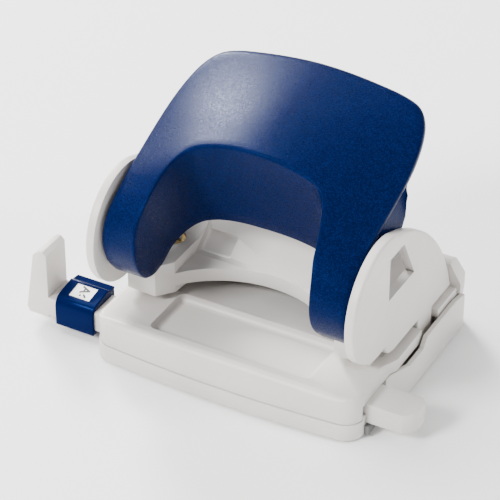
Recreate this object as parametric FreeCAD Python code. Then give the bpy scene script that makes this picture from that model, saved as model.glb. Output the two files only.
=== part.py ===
"""Two-hole paper punch with a sprung lever, a format rail and a hinged chip tray. Millimetres, +Z up.

X runs to the right along the two holes, Y to the rear, Z up from the table. X = 0 is midway between
the holes, Y = 0 is the line of the hole centres, and Z = 0 is the surface that the feet rest on.
"""
import math
import os

import FreeCAD
import Part

V = FreeCAD.Vector

# Holes and paper
hole_spacing = 80.0
hole_radius = 2.75
hole_from_edge = 12.0
table_z = 17.5
throat_height = 3.0
die_plate_thickness = 2.0
plate_overhang = 6.5

# Clearances
running_gap = 0.05
slide_gap = 0.4
seat_gap = 0.2

# Side plates (ears)
ear_overhang = 10.5
ear_thickness = 3.3
ear_nose_y = -16.8
ear_nose_z = 47.5
ear_nose_radius = 22.3
ear_edge_round = 0.9
stem_depth_y = 11.0
stem_foot_z = 8.0

# Lever pivot
pivot_y = -19.0
pivot_z = 46.5
pin_radius = 2.5
clip_thickness = 0.7
rivet_radius = 1.5

# Lever shell
sheet = 1.2
nose_radius = 25.0
nose_y = -12.4
nose_z = 61.5
deck_slope_deg = 12.3
crown_front_radius = 65.0
crown_rear_radius = 110.0
crown_front_y = -40.0
crown_rear_y = 40.0
deck_rear_y = 35.3
deck_corner_radius = 22.0
leg_inset = 7.4
arch_taper = 4.6
arch_rear_y = -3.0
arch_top_rear_y = -13.5
arch_corner_radius = 11.0
leg_foot_z = 35.2
leg_foot_y = -29.5
leg_bend_z = 52.0

# Punches, bushes and springs
head_radius = 3.6
head_thickness = 2.0
punch_head_z = 50.3
punch_tip_z = 21.8
bush_radius = 4.0
bush_flange_radius = 5.0
bush_flange_thickness = 1.4
spring_radius = 3.6
spring_wire = 0.7
pad_radius = 4.0
pad_gap = 0.3

# Steel C-frames
frame_width = 10.4
frame_top_z = 31.0
frame_front_y = -7.0
frame_web_depth = 9.0
lug_thickness = 2.0
frame_screw_radius = 1.45
frame_screw_top_z = 25.5

# Lever arms
arm_thickness = 2.0

# Covers
cover_wall = 1.6
jaw_top_z = 33.0
jaw_front_y = -18.5
jaw_overhang = 7.0
bridge_top_z = 41.0
bridge_top_y = 20.0
housing_rear_y = 45.0

# Base
base_overhang = 11.0
base_rear_step = 3.5
base_front_y = -37.0
base_bow = 2.0
base_rear_y = 47.5
tray_wall = 1.6
tray_floor_z = 1.0
tray_front_z = 7.2
tray_side_z = 16.0
tray_corner_radius = 7.0
ridge_y = -34.5
ridge_z = 17.8
strip_overhang = 2.0
strip_half_width = 3.5
tray_hinge_y = 43.5
tray_hinge_z = 12.0
tray_pin_radius = 1.25
tray_pin_length = 7.6
tray_pin_end_gap = 0.4

# Format rail
rail_overhang = 17.0
rail_end_gap = 1.5
rail_front_y = -28.6
rail_depth = 12.3
rail_low_z = 5.2
rail_high_z = 12.7
stop_gap = 3.5
stop_top_z = 31.5
stop_foot_width = 9.0
stop_head_width = 5.0
sleeve_gap = 3.8
sleeve_length = 15.7
sleeve_wall = 1.5

# Worked out from the values above
half_spacing = hole_spacing / 2
ear_outer_x = half_spacing + ear_overhang
jaw_half_width = half_spacing + jaw_overhang
base_half_width = half_spacing + base_overhang
cut_reach = base_half_width + 10.0
base_rear_half_width = base_half_width + base_rear_step
plate_half_width = half_spacing + plate_overhang
strip_half_length = half_spacing + strip_overhang
sleeve_right_x = -base_half_width - sleeve_gap
sleeve_left_x = sleeve_right_x - sleeve_length
stop_x = stop_gap - sleeve_left_x
rail_left_x = -stop_x - rail_end_gap
rail_right_x = base_half_width + rail_overhang
arch_half_width = half_spacing - leg_inset
arch_top_half_width = arch_half_width - arch_taper
jaw_z = table_z + throat_height
shell_half_width = ear_outer_x - ear_thickness - slide_gap
arm_outer_x = shell_half_width - sheet - slide_gap
lug_outer_x = arm_outer_x - arm_thickness - slide_gap
frame_inner_x = half_spacing - frame_width / 2
frame_outer_x = half_spacing + frame_width / 2
pin_inner_x = lug_outer_x - lug_thickness - 2 * clip_thickness
rail_rear_y = rail_front_y + rail_depth
stem_front_y = hole_from_edge
stem_rear_y = stem_front_y + stem_depth_y
pad_z = punch_head_z + pad_gap + pad_radius
die_plate_low_z = table_z - die_plate_thickness
bush_top_z = frame_top_z + bush_flange_thickness
cover_low_z = 12.9
lug_front_y = jaw_front_y + cover_wall + seat_gap


def box(x0, x1, y0, y1, z0, z1):
    """A block between two corners."""
    return Part.makeBox(x1 - x0, y1 - y0, z1 - z0, V(x0, y0, z0))


def wire(points):
    """A closed wire through the points; a point with a third value is the middle of an arc."""
    edges = []
    count = len(points)
    index = 0
    while index < count:
        start = points[index]
        middle = points[(index + 1) % count]
        if len(middle) == 4:
            end = points[(index + 2) % count]
            edges.append(Part.Arc(V(*start[:3]), V(*middle[:3]), V(*end[:3])).toShape())
            index += 2
        else:
            edges.append(Part.LineSegment(V(*start[:3]), V(*middle[:3])).toShape())
            index += 1
    return Part.Wire(edges)


def side_prism(points, x0, x1):
    """A prism along X on a side outline of (y, z) points; (y, z, "arc") is the middle of an arc."""
    placed = [(x0, p[0], p[1]) + tuple(p[2:]) for p in points]
    return Part.Face(wire(placed)).extrude(V(x1 - x0, 0, 0))


def plan_prism(points, z0, z1):
    """A prism along Z on a plan outline of (x, y) points; (x, y, "arc") is the middle of an arc."""
    placed = [(p[0], p[1], z0) + tuple(p[2:]) for p in points]
    return Part.Face(wire(placed)).extrude(V(0, 0, z1 - z0))


def front_prism(points, y0, y1):
    """A prism along Y on a front outline of (x, z) points; (x, z, "arc") is the middle of an arc."""
    placed = [(p[0], y0, p[1]) + tuple(p[2:]) for p in points]
    return Part.Face(wire(placed)).extrude(V(0, y1 - y0, 0))


def rod_x(radius, x0, x1, y, z):
    """A cylinder along X."""
    return Part.makeCylinder(radius, x1 - x0, V(x0, y, z), V(1, 0, 0))


def rod_z(radius, x, y, z0, z1):
    """A cylinder along Z."""
    return Part.makeCylinder(radius, z1 - z0, V(x, y, z0), V(0, 0, 1))


def mirrored(shape):
    """The same shape on the other side of X = 0."""
    return shape.mirror(V(0, 0, 0), V(1, 0, 0))


def both_sides(shape):
    """A shape made for the right, with its twin on the left."""
    return shape.fuse(mirrored(shape))


def rounded(shape, radius, chosen):
    """Round the edges that the test picks."""
    edges = [edge for edge in shape.Edges if chosen(edge)]
    return shape.makeFillet(radius, edges) if edges else shape


def is_upright(edge):
    """Whether a straight edge stands along Z."""
    first, last = edge.Vertexes[0].Point, edge.Vertexes[-1].Point
    return math.hypot(first.x - last.x, first.y - last.y) < 1e-6 and abs(first.z - last.z) > 1e-6


def save(name, shape):
    """Write one node."""
    os.makedirs("parts", exist_ok=True)
    shape.exportStep(f"parts/{name}.step")
    print(f"{name:24s} solids {len(shape.Solids)} valid {shape.isValid()} volume {shape.Volume:.0f}")


# ---------------------------------------------------------------- side plates


def ear_outline():
    """Side outline of an ear: round nose, long falling back, foot on the flange and the paper slot."""
    diagonal = ear_nose_radius * math.sqrt(0.5)
    nose_low = (ear_nose_y + 2.0, ear_nose_z - ear_nose_radius + 1.2)
    foot_rear_y = stem_rear_y + 15.0
    flange_z = tray_side_z + slide_gap + 3.0
    return [
        (stem_front_y, jaw_z + slide_gap),
        (stem_front_y, stem_foot_z),
        (stem_rear_y, stem_foot_z),
        (stem_rear_y, flange_z),
        (foot_rear_y, flange_z),
        ((foot_rear_y + ear_nose_y) / 2 + 9.0, (flange_z + ear_nose_z + ear_nose_radius) / 2 + 6.5, "arc"),
        (ear_nose_y + 9.0, ear_nose_z + ear_nose_radius - 1.8),
        (ear_nose_y - diagonal, ear_nose_z + diagonal, "arc"),
        (ear_nose_y - ear_nose_radius, ear_nose_z),
        (ear_nose_y - diagonal, ear_nose_z - diagonal, "arc"),
        nose_low,
        (ear_nose_y + 5.5, jaw_z + slide_gap + 1.0),
        (ear_nose_y + 9.0, jaw_z + slide_gap),
    ]


def ear_window():
    """Side outline of the see-through opening in each ear."""
    return [(-13.1, 44.8), (6.2, 44.8), (-2.7, 61.3), (-13.1, 61.3)]


def right_ear():
    """Side plate with its window, its rounded outer edge and its blind pin bore."""
    inner_x = ear_outer_x - ear_thickness
    plate = side_prism(ear_outline(), inner_x, ear_outer_x)
    outer_rim = [e for e in plate.Edges if min(v.X for v in e.Vertexes) > ear_outer_x - 1e-6]
    plate = plate.makeFillet(ear_edge_round, outer_rim)
    plate = plate.cut(side_prism(ear_window(), inner_x - 1, ear_outer_x + 1))
    return plate.cut(rod_x(pin_radius, inner_x - 1, ear_outer_x - 1.0, pivot_y, pivot_z))


# ---------------------------------------------------------------- lever


def deck_height(y):
    """Height of the deck's highest line at one place along Y."""
    slope = math.radians(deck_slope_deg)
    top_y = nose_y - nose_radius * math.sin(slope)
    return nose_z + nose_radius * math.cos(slope) + (y - top_y) * math.tan(slope)


def deck_outline(inset):
    """Side outline of the lever's envelope, moved inwards by the inset."""
    slope = math.radians(deck_slope_deg)
    radius = nose_radius - inset
    top_y = nose_y - radius * math.sin(slope)
    top_z = nose_z + radius * math.cos(slope)
    rear_y = deck_rear_y + 10
    rear_z = top_z + (rear_y - top_y) * math.tan(slope)
    middle = math.radians(180 - (90 - deck_slope_deg) / 2)
    front_y = nose_y - radius
    foot_y = leg_foot_y + inset
    return [
        (foot_y, leg_foot_z - 8),
        (foot_y, leg_foot_z),
        ((foot_y + front_y) / 2 - 1.4, (leg_foot_z + leg_bend_z) / 2 - 1.0, "arc"),
        (front_y, leg_bend_z),
        (front_y, nose_z),
        (nose_y + radius * math.cos(middle), nose_z + radius * math.sin(middle), "arc"),
        (top_y, top_z),
        (rear_y, rear_z),
        (rear_y, leg_foot_z - 8),
    ]


def crown_cone(inset):
    """Cone that gives the deck its crown; its top line is the deck's highest line, less the inset."""
    slope = math.radians(deck_slope_deg)
    normal = V(0, -math.sin(slope), math.cos(slope))
    ends = []
    for y, radius in ((crown_front_y, crown_front_radius), (crown_rear_y, crown_rear_radius)):
        top = V(0, y, deck_height(y))
        ends.append((top, top - normal * radius))
    axis = (ends[1][1] - ends[0][1]).normalize()
    feet = []
    for top, centre in ends:
        foot = centre + axis * (top - centre).dot(axis)
        feet.append((foot, (top - foot).Length - inset))
    (front, front_radius), (rear, rear_radius) = feet
    return Part.makeCone(front_radius, rear_radius, (rear - front).Length, front, axis)


def deck_plan(inset):
    """Plan outline of the lever: straight sides and rear edge joined by two large corners."""
    half = shell_half_width - inset
    rear = deck_rear_y - inset
    corner = deck_corner_radius - inset
    diagonal = corner * (1 - math.sqrt(0.5))
    straight = half - corner
    side_y = rear - corner
    front = nose_y - nose_radius - 5
    return [
        (half, front),
        (half, side_y),
        (half - diagonal, rear - diagonal, "arc"),
        (straight, rear),
        (-straight, rear),
        (-half + diagonal, rear - diagonal, "arc"),
        (-half, side_y),
        (-half, front),
    ]


def lever_envelope(inset):
    """Solid inside the lever's outer skin, moved inwards by the inset."""
    body = side_prism(deck_outline(inset), -shell_half_width - 5, shell_half_width + 5)
    body = body.common(plan_prism(deck_plan(inset), leg_foot_z - 9, 200))
    return body.common(crown_cone(inset))


def arch_block(outset):
    """The space inside the arch, open to the front: narrower and further forward at its top."""

    def outline(half, rear, z):
        """U-shaped plan outline of the arch at one height."""
        wide = half + outset
        back = rear + outset
        corner = arch_corner_radius + outset
        diagonal = corner * (1 - math.sqrt(0.5))
        front = nose_y - nose_radius - 10
        return wire([
            (wide, front, z),
            (wide, back - corner, z),
            (wide - diagonal, back - diagonal, z, "arc"),
            (wide - corner, back, z),
            (-wide + corner, back, z),
            (-wide + diagonal, back - diagonal, z, "arc"),
            (-wide, back - corner, z),
            (-wide, front, z),
        ])

    low = outline(arch_half_width + 0.6, arch_rear_y + 4.6, 32.0)
    high = outline(arch_top_half_width, arch_top_rear_y, 90.0)
    return Part.makeLoft([low, high], True, True)


def below_cheeks():
    """Everything under the lower edge of the lever's outer cheeks."""
    window_front = ear_window()[0][0]
    window_top = ear_window()[2][1]
    return side_prism(
        [
            (-60, 20), (-60, leg_foot_z + 0.4), (-30.0, leg_foot_z + 0.4), (-26, leg_foot_z),
            (window_front - 1.1, leg_foot_z + 1.5), (window_front - 1.1, window_top + 1.6),
            (3.5, window_top + 1.6), (5.7, window_top + 4.5), (5.7, 73.4), (20, 79.6), (28, 84.5), (45, 95), (45, 20),
        ],
        -cut_reach, cut_reach,
    )


def below_arch_wall():
    """Everything under the lower edge of the arch's inner wall."""
    return side_prism(
        [
            (-60, 20), (-60, leg_foot_z + 0.4), (-30.0, leg_foot_z + 0.4), (-26, leg_foot_z),
            (-17, leg_foot_z), (-10.5, 40.0), (-4.5, 48.5), (-3.0, 50.5), (45, 50.5), (45, 20),
        ],
        -cut_reach, cut_reach,
    )


def lever_shell():
    """Pressed sheet lever: deck, rounded edge, two legs and the deep wall round the arch."""
    outer = lever_envelope(0)
    skin = outer.cut(lever_envelope(sheet)).cut(arch_block(sheet / 2)).cut(below_cheeks())
    middle = box(-half_spacing, half_spacing, -60, 60, 20, 120)
    wall = arch_block(sheet).cut(arch_block(0)).common(outer).common(middle).cut(below_arch_wall())
    shell = skin.fuse(wall)
    shell = shell.removeSplitter()
    hole = rod_x(pin_radius + running_gap, half_spacing, cut_reach, pivot_y, pivot_z)
    shell = shell.cut(both_sides(hole))
    for y, z in lever_rivet_places():
        shell = shell.cut(both_sides(rod_x(rivet_radius, arm_outer_x, cut_reach, y, z)))
    return max(shell.Solids, key=lambda solid: solid.Volume)


def lever_rivet_places():
    """Side places (y, z) of the rivets that hold each lever arm to the shell."""
    return [(pivot_y - 5.5, pivot_z + 5.5), (pivot_y + 2.0, pivot_z + 9.5)]


def lever_rivets():
    """Four rivets, each through one arm and one cheek, with a low head inside."""
    rivets = []
    for y, z in lever_rivet_places():
        shank = rod_x(rivet_radius, arm_outer_x - arm_thickness - 0.6, shell_half_width, y, z)
        head = rod_x(2.2, arm_outer_x - arm_thickness - 0.7, arm_outer_x - arm_thickness, y, z)
        washer = rod_x(2.4, arm_outer_x, shell_half_width - sheet, y, z)
        rivet = shank.fuse(head).fuse(washer).removeSplitter()
        rivets += [rivet, mirrored(rivet)]
    return Part.makeCompound(rivets)


def inner_lever():
    """Two arms on the pivot pins, a cross-bar between them and a round nose over each punch."""
    inner_x = arm_outer_x - arm_thickness
    profile = [
        (pivot_y - 9.0, pivot_z + 2.0),
        (pivot_y - 6.0, pivot_z - 5.5),
        (pivot_y + 6.0, pivot_z - 5.5),
        (-4.5, pad_z - 3.2),
        (8.5, pad_z - 3.2),
        (8.5, pad_z + 3.5),
        (1.0, pad_z + 8.0),
        (pivot_y, pad_z + 9.0),
        (pivot_y - 7.0, pad_z + 4.0),
    ]
    arm = side_prism(profile, inner_x, arm_outer_x)
    nose = rod_x(pad_radius, frame_inner_x + 1.0, inner_x, 0, pad_z)
    nose_web = box(frame_inner_x + 1.0, inner_x, 0, 5.0, pad_z, pad_z + 3.5)
    lever = both_sides(arm.fuse(nose).fuse(nose_web))
    bar = box(-inner_x, inner_x, 4.0, 8.5, pad_z - 2.0, pad_z + 3.5)
    lever = lever.fuse(bar).removeSplitter()
    lever = lever.cut(both_sides(rod_x(pin_radius + running_gap, 30, cut_reach, pivot_y, pivot_z)))
    for y, z in lever_rivet_places():
        lever = lever.cut(both_sides(rod_x(rivet_radius, half_spacing, cut_reach, y, z)))
    return lever


def pivot_pin():
    """Pin from the C-frame's lug through arm and cheek into the ear, with a groove for its clip."""
    pin = rod_x(pin_radius, pin_inner_x, ear_outer_x - 1.0, pivot_y, pivot_z)
    groove_x = pin_inner_x + clip_thickness / 2
    groove = rod_x(pin_radius + 1, groove_x, groove_x + clip_thickness, pivot_y, pivot_z)
    return pin.cut(groove.cut(rod_x(pin_radius - 0.5, groove_x, groove_x + clip_thickness, pivot_y, pivot_z)))


def pin_clips():
    """One open ring in the groove of each pin."""
    groove_x = pin_inner_x + clip_thickness / 2
    ring = rod_x(pin_radius + 1.8, groove_x, groove_x + clip_thickness, pivot_y, pivot_z)
    ring = ring.cut(rod_x(pin_radius - 0.5, groove_x - 1, groove_x + 2, pivot_y, pivot_z))
    mouth = box(groove_x - 1, groove_x + 2, pivot_y - 1.6, pivot_y + 1.6, pivot_z - 6, pivot_z)
    ring = ring.cut(mouth)
    return Part.makeCompound([ring, mirrored(ring)])


# ---------------------------------------------------------------- punches


def punch():
    """Punch pin with a flat head and a hollow cutting end."""
    body = rod_z(hole_radius - running_gap / 2, half_spacing, 0, punch_tip_z, punch_head_z)
    head = rod_z(head_radius, half_spacing, 0, punch_head_z - head_thickness, punch_head_z)
    hollow = Part.makeCone(hole_radius - 0.5, 0.4, 2.2, V(half_spacing, 0, punch_tip_z), V(0, 0, 1))
    return body.fuse(head).cut(hollow)


def return_spring():
    """Envelope of the coil spring between the bush flange and the punch head."""
    low = bush_top_z + 0.1
    high = punch_head_z - head_thickness - 0.1
    outer = rod_z(spring_radius, half_spacing, 0, low, high)
    return outer.cut(rod_z(spring_radius - spring_wire, half_spacing, 0, low - 1, high + 1))


def guide_bush():
    """Flanged bush that guides a punch through the C-frame's upper arm."""
    bush = rod_z(bush_radius, half_spacing, 0, jaw_z + 0.3, frame_top_z)
    flange = rod_z(bush_flange_radius, half_spacing, 0, frame_top_z, bush_top_z)
    bore = rod_z(hole_radius + running_gap, half_spacing, 0, jaw_z - 5, bush_top_z + 5)
    return bush.fuse(flange).cut(bore)


def punch_frame():
    """Steel C-frame: web behind the paper, upper arm with the bush bore, and the pivot lug."""
    web_front = hole_from_edge + 1.5
    web_rear = web_front + frame_web_depth
    low_z = table_z + seat_gap
    arm = box(frame_inner_x, frame_outer_x, frame_front_y, web_rear, jaw_z + 0.8, frame_top_z)
    web = box(frame_inner_x, frame_outer_x, web_front, web_rear, low_z, frame_top_z)
    lug_inner_x = lug_outer_x - lug_thickness
    lug = side_prism(
        [
            (frame_front_y + 1, jaw_z + 3.5), (frame_front_y + 1, frame_top_z), (pivot_y + 5.5, frame_top_z + 6),
            (pivot_y + 5.0, pivot_z + 2.5), (pivot_y, pivot_z + 5.5, "arc"), (pivot_y - 5.0, pivot_z + 2.5),
            (pivot_y - 4.5, pivot_z - 5.0), (lug_front_y, jaw_top_z + 1.2), (lug_front_y, jaw_z + 5.5),
            (lug_front_y + 2.5, jaw_z + 3.5),
        ],
        lug_inner_x, lug_outer_x,
    )
    frame = arm.fuse(web).fuse(lug)
    frame = frame.cut(rod_z(bush_radius, half_spacing, 0, jaw_z, frame_top_z + 1))
    frame = frame.cut(rod_x(pin_radius, 30, cut_reach, pivot_y, pivot_z))
    for y in frame_screw_places():
        frame = frame.cut(rod_z(frame_screw_radius, half_spacing, y, low_z - 1, frame_screw_top_z))
    return frame.removeSplitter()


# ---------------------------------------------------------------- base


def base_plan(inset, rear_inset):
    """Plan outline of the base: bowed front, straight sides that step out towards the rear."""
    half = base_half_width - inset
    rear_half = base_rear_half_width - inset
    corner = tray_corner_radius - inset
    diagonal = corner * (1 - math.sqrt(0.5))
    front = base_front_y + inset
    rear = base_rear_y - rear_inset
    step_y = rail_rear_y + 6
    return [
        (half, front + corner),
        (half, step_y),
        (rear_half, step_y + 8),
        (rear_half, rear - corner),
        (rear_half - diagonal, rear - diagonal, "arc"),
        (rear_half - corner, rear),
        (-rear_half + corner, rear),
        (-rear_half + diagonal, rear - diagonal, "arc"),
        (-rear_half, rear - corner),
        (-rear_half, step_y + 8),
        (-half, step_y),
        (-half, front + corner),
        (-half + diagonal, front + diagonal, "arc"),
        (-half + corner, front),
        (0, front - base_bow, "arc"),
        (half - corner, front),
        (half - diagonal, front + diagonal, "arc"),
    ]


def rail_tunnel(gap):
    """Space that the rail runs through, from end to end."""
    return box(-90, 90, rail_front_y - gap, rail_rear_y + gap, rail_low_z - gap, rail_high_z + gap)


def tray_rim():
    """Side outline of what the tray's walls may fill: low in front, high beside the housing."""
    return [
        (-60, tray_floor_z), (-60, tray_front_z), (rail_front_y - 2.0, tray_front_z),
        (rail_front_y - 2.0, cover_low_z - 4.2), (rail_rear_y + 2.5, cover_low_z - 4.2),
        (rail_rear_y + 2.5, cover_low_z - slide_gap), (stem_front_y - 4, cover_low_z - slide_gap),
        (stem_front_y - 1, tray_side_z), (base_rear_y - 13, tray_side_z), (base_rear_y - 6, tray_side_z - 1.5),
        (base_rear_y + 2, 7.6), (base_rear_y + 2, tray_floor_z),
    ]


def chip_tray():
    """Open bottom tray that catches the chips and swings down on two pins at the rear."""
    outer = plan_prism(base_plan(0, 0), tray_floor_z, 30)
    inner = plan_prism(base_plan(tray_wall, tray_wall), tray_floor_z + tray_wall, 31)
    tray = outer.cut(inner).common(side_prism(tray_rim(), -cut_reach, cut_reach))
    tray = tray.cut(rail_tunnel(slide_gap))
    knuckle_x = base_rear_half_width - tray_wall
    for side in (1, -1):
        low_x, high_x = sorted((side * (knuckle_x - 4.0), side * knuckle_x))
        knuckle = box(low_x, high_x, tray_hinge_y - 2.6, tray_hinge_y + 2.6, tray_floor_z + tray_wall, tray_hinge_z)
        knuckle = knuckle.fuse(rod_x(2.6, low_x, high_x, tray_hinge_y, tray_hinge_z))
        tray = tray.fuse(knuckle.common(plan_prism(base_plan(0.5, 0.5), 0, 30)))
    tray = tray.removeSplitter()
    return tray.cut(rod_x(tray_pin_radius + running_gap, -cut_reach, cut_reach, tray_hinge_y, tray_hinge_z))


def tray_hinge_pins():
    """Two short pins that carry the tray, held by the rear housing."""
    knuckle_x = base_rear_half_width - tray_wall
    outer_end = knuckle_x - tray_pin_end_gap
    pin = rod_x(tray_pin_radius, outer_end - tray_pin_length, outer_end, tray_hinge_y, tray_hinge_z)
    return Part.makeCompound([pin, mirrored(pin)])


def tray_latch():
    """Finger catch on the tray's right side, below the rail."""
    catch = box(base_half_width + 0.0, base_half_width + 1.8, rail_front_y - 1.4, rail_front_y + 6.5, 1.2, 4.6)
    return rounded(catch, 0.6, lambda e: abs(e.Vertexes[0].Point.x - base_half_width - 1.8) < 1e-6
                   and abs(e.Vertexes[-1].Point.x - base_half_width - 1.8) < 1e-6)


def rubber_feet():
    """Three anti-slip strips across the tray's underside, the middle one under the hole line."""
    strips = []
    for y in (base_front_y + 8.0, 0.0, base_rear_y - 9.0):
        strip = box(-strip_half_length, strip_half_length, y - strip_half_width, y + strip_half_width, 0, tray_floor_z)
        strips.append(rounded(strip, strip_half_width - 0.1, is_upright))
    return Part.makeCompound(strips)


def die_plate():
    """Steel plate under the paper with the two die holes and screw holes for the C-frames."""
    low_z = die_plate_low_z
    plate = box(-plate_half_width, plate_half_width, -8.5, stem_rear_y + 1.5, low_z, table_z)
    plate = plate.cut(both_sides(rod_z(hole_radius + running_gap, half_spacing, 0, low_z - 1, table_z + 1)))
    for y in frame_screw_places():
        plate = plate.cut(both_sides(rod_z(frame_screw_radius + running_gap, half_spacing, y, low_z - 1, table_z + 1)))
    return plate


def frame_screw_places():
    """Rear places of the screws that hold each C-frame to the die plate."""
    return [hole_from_edge + 3.7, hole_from_edge + 8.3]


def frame_screws():
    """Four screws, from under the die plate into the C-frames."""
    screws = []
    for y in frame_screw_places():
        shank = rod_z(frame_screw_radius, half_spacing, y, die_plate_low_z - 0.4, frame_screw_top_z)
        head = rod_z(2.2, half_spacing, y, die_plate_low_z - 1.9, die_plate_low_z - 0.05)
        slot = box(half_spacing - 3, half_spacing + 3, y - 0.35, y + 0.35, die_plate_low_z - 2, die_plate_low_z - 1.2)
        screw = shank.fuse(head).cut(slot)
        screws += [screw, mirrored(screw)]
    return Part.makeCompound(screws)


def front_cover():
    """Front moulding: sloping front panel, ridge, finger scoop and the paper table round the die plate."""
    rear_y = stem_front_y - 0.3
    profile = [
        (base_front_y - base_bow - 1, tray_front_z + slide_gap),
        (ridge_y - 2.5, ridge_z - 1.4),
        (ridge_y - 1.2, ridge_z - 0.2, "arc"),
        (ridge_y + 0.6, ridge_z),
        (ridge_y + 6, table_z),
        (rear_y, table_z),
        (rear_y, cover_low_z),
        (rail_front_y - 2.0, cover_low_z),
        (rail_front_y - 2.0, tray_front_z + slide_gap),
    ]
    outer = side_prism(profile, -base_half_width - 1, base_half_width + 1)
    outer = outer.common(plan_prism(base_plan(0.3, 0.3), 0, 40))
    top_rim = [
        e for e in outer.Edges
        if abs(abs(e.Vertexes[0].Point.x) - (base_half_width - 0.3)) < 1e-3
        and abs(abs(e.Vertexes[-1].Point.x) - (base_half_width - 0.3)) < 1e-3
        and e.BoundBox.ZMin > table_z - 0.01 and e.BoundBox.YLength > 1
    ]
    outer = outer.makeFillet(1.6, top_rim)
    floor = [
        (base_front_y + cover_wall - 1.0, tray_front_z - 2),
        (ridge_y - 0.8, ridge_z - cover_wall - 1.2),
        (ridge_y + 1.0, table_z - cover_wall),
        (rear_y - cover_wall, table_z - cover_wall),
        (rear_y - cover_wall, tray_front_z - 2),
    ]
    inside = side_prism(floor, -base_half_width + 2.2, base_half_width - 2.2)
    inside = inside.common(plan_prism(base_plan(2.2, 2.2), 0, 40))
    shell = outer.cut(inside)
    scoop_box = box(-31, 31, ridge_y + 2.5, -9.0, table_z - 3.0, table_z + 8)
    scoop_wall = box(-33, 33, ridge_y + 1.2, -8.5, table_z - 4.4, table_z)
    scoop = rounded(scoop_box, 2.6, lambda e: e.BoundBox.ZMax < table_z - 2.9 or is_upright(e))
    shell = shell.fuse(scoop_wall.common(outer)).cut(scoop)
    seat_half_width = plate_half_width + seat_gap
    shell = shell.cut(box(-seat_half_width, seat_half_width, -8.7, 50, 0, table_z + 1))
    return max(shell.removeSplitter().Solids, key=lambda solid: solid.Volume)


def paper_stop():
    """Strip at the back of the throat that the paper's edge meets, with a mark at its middle."""
    inner = frame_inner_x - 2.5
    strip = box(-inner, inner, hole_from_edge, hole_from_edge + 1.2, table_z + 0.05, jaw_z + 3.0)
    mark = plan_prism([(-1.2, hole_from_edge - 1), (1.2, hole_from_edge - 1), (0, hole_from_edge + 0.8)], 0, 40)
    return strip.cut(mark)


def upper_cover():
    """White moulding over the C-frames: two jaws, the bridge between them and the falling rear housing."""
    outer_profile = [
        (jaw_front_y - 2, jaw_z),
        (jaw_front_y - 2, jaw_top_z),
        (4.0, jaw_top_z),
        (12.0, jaw_top_z + 4.0),
        (bridge_top_y, bridge_top_z),
        (28.0, bridge_top_z - 3.0),
        (38.0, 30.0),
        (housing_rear_y, 18.5),
        (housing_rear_y, tray_front_z + 1.2),
        (housing_rear_y - cover_wall, tray_front_z + 1.2),
        (housing_rear_y - cover_wall, tray_side_z - 3.0),
        (stem_rear_y + 2, tray_side_z - 3.0),
        (stem_rear_y + 2, jaw_z),
    ]
    outer = side_prism(outer_profile, -jaw_half_width, jaw_half_width)
    lip_plan = [
        (jaw_half_width, jaw_front_y), (jaw_half_width, 60), (-jaw_half_width, 60), (-jaw_half_width, jaw_front_y),
        (-arch_half_width - 3, jaw_front_y - 0.5), (-arch_half_width + 4, jaw_front_y + 8.0),
        (0, 1.5, "arc"), (arch_half_width - 4, jaw_front_y + 8.0), (arch_half_width + 3, jaw_front_y - 0.5),
    ]
    outer = outer.common(plan_prism(lip_plan, 0, 80))
    throat_relief = plan_prism(
        [(-33, -30), (33, -30), (30, -6), (0, 9.5, "arc"), (-30, -6)], jaw_z - 1, jaw_z + 2.6
    )
    outer = outer.cut(throat_relief)
    slope_foot_z = jaw_top_z - 4.7
    slope = [(-30, slope_foot_z), (1.0, slope_foot_z), (12.0, jaw_top_z + 4.0), (12.0, 60), (-30, 60)]
    outer = outer.cut(side_prism(slope, -31, 31))
    inner_profile = [
        (2.2 + cover_wall, jaw_z - 1),
        (2.2 + cover_wall, 27.2),
        (12.0, jaw_top_z + 2.0),
        (bridge_top_y, bridge_top_z - cover_wall - 0.4),
        (27.4, bridge_top_z - 3.0 - cover_wall),
        (36.8, 29.2),
        (housing_rear_y - cover_wall, 17.8),
        (housing_rear_y - cover_wall, tray_side_z - 4.0),
        (stem_rear_y + 2 + cover_wall, tray_side_z - 4.0),
        (stem_rear_y + 2 - 1, jaw_z - 1),
    ]
    hollow = side_prism(inner_profile, -frame_inner_x + 2.2, frame_inner_x - 2.2)
    rear_hollow = side_prism(inner_profile, -jaw_half_width + cover_wall, jaw_half_width - cover_wall)
    rear_hollow = rear_hollow.common(box(-cut_reach, cut_reach, stem_rear_y, 60, 0, 80))
    shell = outer.cut(hollow).cut(rear_hollow)
    pocket = box(frame_inner_x - seat_gap, frame_outer_x + seat_gap, frame_front_y - seat_gap, stem_rear_y + 3,
                 jaw_z - 1, frame_top_z + seat_gap)
    shell = shell.cut(both_sides(pocket))
    lug_inner_x = lug_outer_x - lug_thickness
    lug_slot = box(lug_inner_x - seat_gap, lug_outer_x + seat_gap, lug_front_y - seat_gap, frame_front_y + 1,
                   jaw_z + 2, 60)
    shell = shell.cut(both_sides(lug_slot))
    shell = shell.cut(both_sides(rod_z(bush_flange_radius + seat_gap, half_spacing, 0, 20, 60)))
    hinge_lug = box(jaw_half_width - 4.0, jaw_half_width, tray_hinge_y - 3.0, housing_rear_y, tray_hinge_z - 2.6, 19)
    pin_inner_end = base_rear_half_width - tray_wall - tray_pin_length - tray_pin_end_gap
    bore = rod_x(tray_pin_radius, pin_inner_end, cut_reach, tray_hinge_y, tray_hinge_z)
    shell = shell.fuse(both_sides(hinge_lug)).cut(both_sides(bore))
    shell = shell.fuse(both_sides(housing_flange())).fuse(both_sides(rear_cheek()))
    return max(shell.removeSplitter().Solids, key=lambda solid: solid.Volume)


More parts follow.
